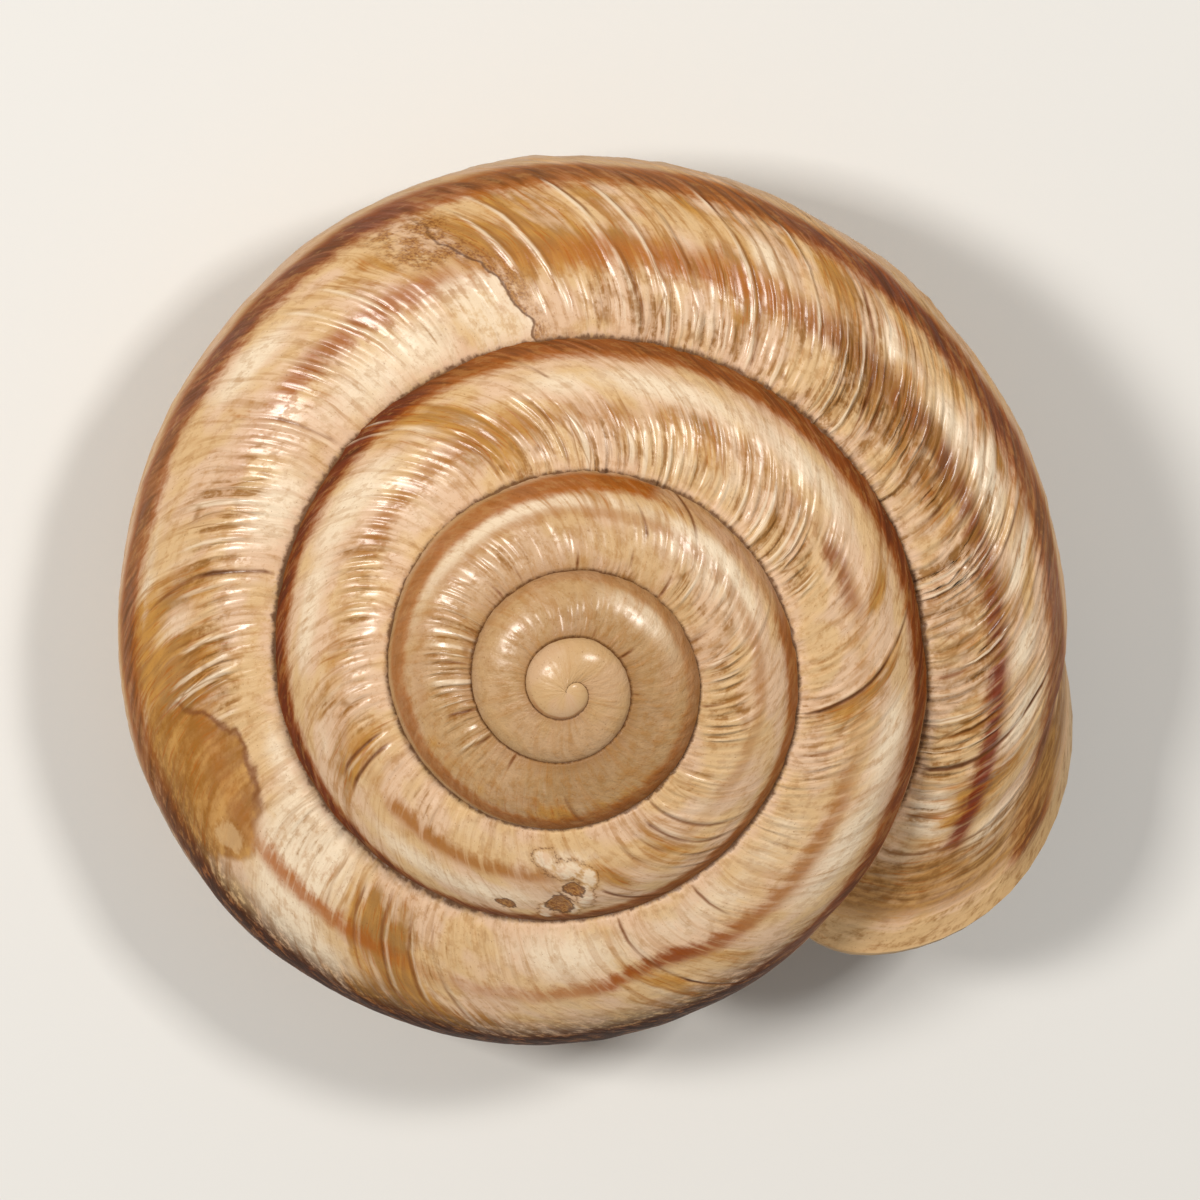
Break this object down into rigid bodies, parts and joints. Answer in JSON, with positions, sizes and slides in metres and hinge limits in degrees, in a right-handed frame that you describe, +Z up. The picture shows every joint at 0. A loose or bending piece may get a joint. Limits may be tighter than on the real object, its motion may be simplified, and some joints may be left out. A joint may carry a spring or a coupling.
{
  "type": "land snail shell",
  "caption": "Low-spired, right-coiling land snail shell with convex banded whorls, a closed base and a flared, oblique mouth.",
  "frame": {"origin": "middle of the bounding box in plan, on the surface that the shell lies on", "axes": "+Z up from the surface, with the spire up; +X the widest way across, towards the outer lip; -Y the side that the mouth opens to"},
  "size_m": [0.0362, 0.0334, 0.0171],
  "materials": {
    "shell": "semi-gloss, cream to tan with reddish-brown spiral bands"
  },
  "bodies": {
    "root": {"shell": "shell"}
  },
  "joints": []
}
